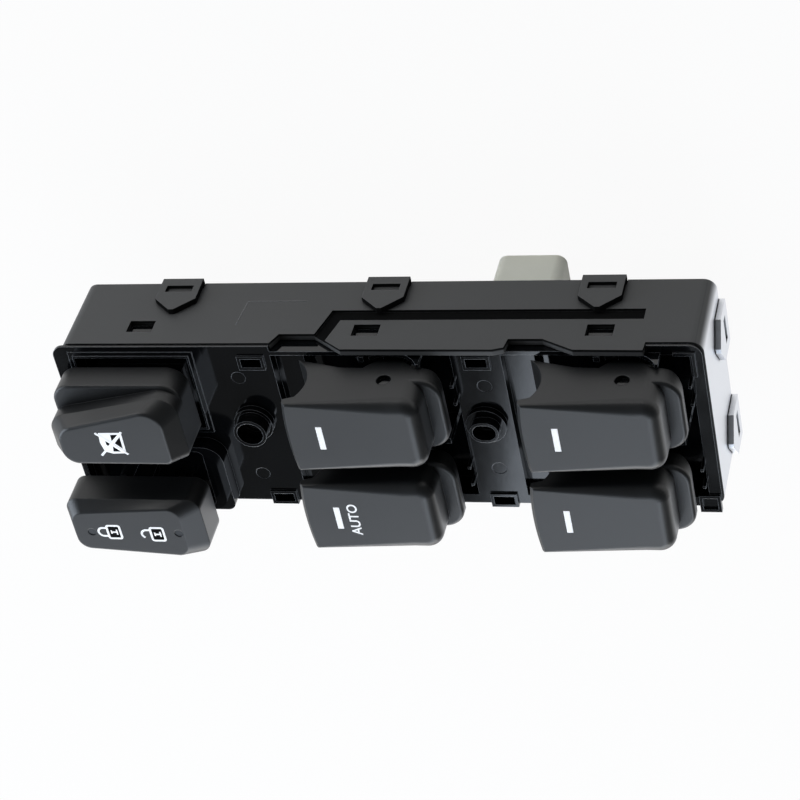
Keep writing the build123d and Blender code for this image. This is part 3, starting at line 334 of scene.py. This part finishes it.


# edge_light and the edge colour paint a highlight on edges, and cavity paints shade into recesses
LOOKS = {
    "housing_plastic": dict(
        color=(0.080, 0.080, 0.079), roughness=0.55, grain=0.35, grain_depth=0.012, edge=0.25,
        cavity=5.0, sheen=0.95, housing=True, Specular_IOR_Level=0.3),
    # The frame's pale edge colour is a painted highlight along its sharp edges
    "frame_plastic": dict(
        color=(0.003, 0.0034, 0.004), roughness=0.08, grain=2.5, grain_depth=0.005, patch=9.0,
        rough_share=0.35, edge=0.18, edge_light=0.7, edge_color=(0.42, 0.44, 0.47), cavity=3.0),
    "knob_plastic": dict(
        color=(0.0125, 0.0130, 0.0135), roughness=0.40, grain=0.22, grain_depth=0.008, edge=0.3,
        edge_light=0.3, cavity=7.0, sheen=0.19),
    # The white marks' emission is painted glow that lifts them to white beyond what the lamps give
    "indicator": dict(
        color=(0.95, 0.95, 0.95), roughness=0.45, grain=0.5, grain_depth=0.002, patch_share=0.02,
        edge_light=0.0, Emission_Strength=0.22),
    "connector_plastic": dict(
        color=(0.90, 0.89, 0.77), roughness=0.5, grain=0.6, grain_depth=0.006, patch=6.0,
        patch_share=0.05, edge=0.4, edge_light=0.1),
    "board": dict(
        color=(0.012, 0.11, 0.045), roughness=0.3, grain=0.8, grain_depth=0.004, patch=5.0),
    "chip": dict(color=(0.012, 0.012, 0.013), roughness=0.5, grain=0.3, grain_depth=0.006),
    "lamp": dict(color=(0.85, 0.78, 0.5), roughness=0.3, patch_share=0.04, edge_light=0.0),
    "lens": dict(color=(0.035, 0.037, 0.04), roughness=0.25, grain_depth=0.001),
    "slider_plastic": dict(
        color=(0.72, 0.72, 0.69), roughness=0.45, patch_share=0.04, edge_light=0.0),
    "brass": dict(color=(0.72, 0.53, 0.25), roughness=0.3, Metallic=1.0),
    "tin": dict(color=(0.72, 0.72, 0.70), roughness=0.35, Metallic=1.0),
}
FINISHES = {name: moulded(name, **look) for name, look in LOOKS.items()}
for row in frame["record"]["subparts"]:
    node = frame["nodes"][row["node"]]
    node.data.materials.clear()
    node.data.materials.append(FINISHES[row["material_slot"]])


class Relief:
    """Flat shapes raised on one face of the object, gathered into one piece."""

    def __init__(self, place):
        self.place = place
        self.bm = bmesh.new()

    def corner(self, u, v, w):
        return self.bm.verts.new(self.place(u, v, w))

    def prism(self, outline, high):
        """Closed prism over a flat outline that runs counterclockwise."""
        under = [self.corner(u, v, -MARK_SINK) for u, v in outline]
        over = [self.corner(u, v, high) for u, v in outline]
        self.bm.faces.new(over)
        self.bm.faces.new(under[::-1])
        for i in range(len(outline)):
            j = (i + 1) % len(outline)
            self.bm.faces.new((under[i], under[j], over[j], over[i]))

    def stroke(self, points, width, high=MARK_RISE, closed=False):
        """Band of one width along a path, with mitred corners."""
        points = [Vector(p) for p in points]
        count = len(points)
        sides = []
        for i, point in enumerate(points):
            before = points[i - 1] if closed or i else point
            after = points[(i + 1) % count] if closed or i < count - 1 else point
            a = (point - before).normalized() if before != point else (after - point).normalized()
            b = (after - point).normalized() if after != point else a
            middle = Vector((-(a.y + b.y), a.x + b.x)).normalized()
            reach = width / 2 / max(MITRE_LIMIT, middle.dot(Vector((-a.y, a.x))))
            sides.append((point + middle * reach, point - middle * reach))
        rings = []
        for left, right in sides:
            corners = ((right, -MARK_SINK), (left, -MARK_SINK), (left, high), (right, high))
            rings.append([self.corner(p.x, p.y, w) for p, w in corners])
        for i in range(count if closed else count - 1):
            one, two = rings[i], rings[(i + 1) % count]
            for k in range(4):
                m = (k + 1) % 4
                self.bm.faces.new((one[k], one[m], two[m], two[k]))
        if not closed:
            self.bm.faces.new(rings[0][::-1])
            self.bm.faces.new(rings[-1])

    def finish(self, name, body, slot):
        bmesh.ops.recalc_face_normals(self.bm, faces=self.bm.faces)
        mesh = bpy.data.meshes.new(name)
        self.bm.to_mesh(mesh)
        self.bm.free()
        mesh.materials.append(FINISHES[slot])
        piece = put(name, mesh)
        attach(piece, body)


def on_top(height):
    """Places a flat shape on a face that looks out of the switch at one height."""
    return lambda u, v, w: (u * MM, v * MM, (height + w) * MM)


def on_side(y):
    """Places a flat shape on the side wall: u along the switch, v up, w out of the wall."""
    return lambda u, v, w: (u * MM, (y + w) * MM, v * MM)


def arc(centre, radius, start, end, steps=12):
    """Points of an arc, its angles in degrees."""
    turns = [math.radians(start + (end - start) * i / steps) for i in range(steps + 1)]
    return [(centre[0] + radius * math.cos(t), centre[1] + radius * math.sin(t)) for t in turns]


def rounded(left, right, low, high, radius, steps=4):
    """Rounded rectangle, counterclockwise."""
    corners = [((right - radius, low + radius), -90), ((right - radius, high - radius), 0),
               ((left + radius, high - radius), 90), ((left + radius, low + radius), 180)]
    return [p for centre, start in corners for p in arc(centre, radius, start, start + 90, steps)]


def padlock(relief, dark, left, middle, is_open):
    """Padlock on its side: shackle to the left, body to the right."""
    start, end = [left + edge for edge in PADLOCK_BODY]
    body = rounded(start, end, middle - PADLOCK_HALF, middle + PADLOCK_HALF, PADLOCK_CORNER)
    relief.stroke(body, MARK_LINE, closed=True)
    dark.prism(body, MARK_RISE - MARK_STEP)
    bend = (left + SHACKLE, middle)
    low, high = (start, middle - SHACKLE), (start, middle + SHACKLE)
    if is_open:
        relief.stroke([high, *arc(bend, SHACKLE, 90, 240)], MARK_LINE)
    else:
        relief.stroke([low, *arc(bend, SHACKLE, 270, 90), high], MARK_LINE)
    keyhole = (start + end) / 2
    relief.stroke([(keyhole + along, middle) for along in KEYHOLE_BAR], KEYHOLE_LINE)
    for along, reach in KEYHOLE_ENDS:
        across = [(keyhole + along, middle - reach), (keyhole + along, middle + reach)]
        relief.stroke(across, KEYHOLE_END_LINE)


marks, panes = Relief(on_top(ROCKER_TOP)), Relief(on_top(ROCKER_TOP))
padlock(marks, panes, -75.1, -19.5, False)
padlock(marks, panes, -63.6, -20.0, True)
marks.finish("padlock_marks", "door_lock_rocker", "indicator")
panes.finish("padlock_panes", "door_lock_rocker", "frame_plastic")

# Crossed-out window on the window lock button: white glass with dark panes under the cross
marks = Relief(on_top(LOCK_TOP))
glass = [(-61.4, 12.1), (-67.4, 12.0), (-67.7, 8.8), (-67.1, 6.0), (-65.0, 5.3), (-61.6, 5.5)]
marks.prism(glass, MARK_RISE)
marks.stroke([(-68.3, 11.95), (-61.2, 5.1)], MARK_LINE, MARK_RISE + 3 * MARK_STEP)
marks.stroke([(-61.3, 12.3), (-68.3, 4.65)], MARK_LINE, MARK_RISE + 4 * MARK_STEP)
marks.finish("crossed_window_mark", "window_lock_button", "indicator")
panes = Relief(on_top(LOCK_TOP))
for pane in ([(-62.2, 11.5), (-64.4, 11.4), (-64.5, 9.4)],
             [(-62.1, 10.8), (-63.9, 8.7), (-62.2, 6.9)],
             [(-64.6, 7.7), (-64.9, 6.0), (-62.9, 6.0)],
             rounded(-66.2, -65.1, 7.9, 9.6, 0.4)):
    panes.prism(pane, MARK_RISE + MARK_STEP)
panes.finish("crossed_window_panes", "window_lock_button", "frame_plastic")


def lettering(name, text, place, size, body):
    """Word on a knob's top, read along the switch's width."""
    data = bpy.data.curves.new(name + "_curve", "FONT")
    data.body = text
    data.size = size * MM
    data.offset = LETTER_SWELL * MM
    data.extrude = (MARK_SINK + MARK_RISE) / 2 * MM
    data.align_x = data.align_y = "CENTER"
    source = put(name + "_source", data)
    bpy.context.view_layer.update()
    evaluated = source.evaluated_get(bpy.context.evaluated_depsgraph_get())
    mesh = bpy.data.meshes.new_from_object(evaluated)
    bpy.data.objects.remove(source)
    lift = KNOB_TOP + (MARK_RISE - MARK_SINK) / 2
    quarter = Matrix.Rotation(math.pi / 2, 4, "Z")
    mesh.transform(Matrix.Translation(Vector((*place, lift)) * MM) @ quarter)
    mesh.materials.clear()
    mesh.materials.append(FINISHES["indicator"])
    piece = put(name, mesh)
    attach(piece, body)


lettering("auto_word", "AUTO", (-7.4, -15.4), 3.6, "driver_window_knob")

# Thin line round the bare marking area on the side wall
marks = Relief(on_side(SIDE_WALL))
marks.stroke([(-35.6, -8.0), (-34.8, -17.0), (-19.4, -17.0)], 0.25)
marks.finish("marking_line", "base", "frame_plastic")

make_camera()
make_world()
make_floor()
# The glossy plates mirror the cards on both sides of a gap, and the dim room in the gap. Each row
# gives a card's left, right, back and front edge, its radiance and its colour.
ceiling_card("back_middle_card", -0.278, -0.182, -1.4, -0.3, 3.2, COOL, lean=-13.6)
ceiling_card("back_right_card", -0.09, 0.5, -2.0, -0.55, 3.7, COOL)
ceiling_card("back_left_card", -1.5, -0.64, -2.0, -0.45, 2.1, COOL)
ceiling_card("back_far_card", -0.64, -0.276, -2.0, -1.04, 2.6, COOL)
# Standing cards: the middle, the direction behind the card, width, height, radiance and colour
card("back_low_card", (-0.2, -2.0, 0.5), (-0.1, -0.97, 0.24), 2.4, 0.7, 5.0, PLAIN)
card("left_card", (-1.1, 0.0, 0.45), (-0.92, 0.0, 0.38), 0.7, 1.0, 5.2, COOL)
card("left_front_card", (-0.40, 0.46, 0.02), (-0.64, 0.76, 0.08), 0.2, 0.3, 3.0, PLAIN)
card("front_low_card", (-0.1, 0.75, 0.03), (-0.13, 0.99, 0.05), 1.1, 0.14, 1.6, PLAIN)

scene = bpy.context.scene
scene.view_settings.view_transform = "Standard"
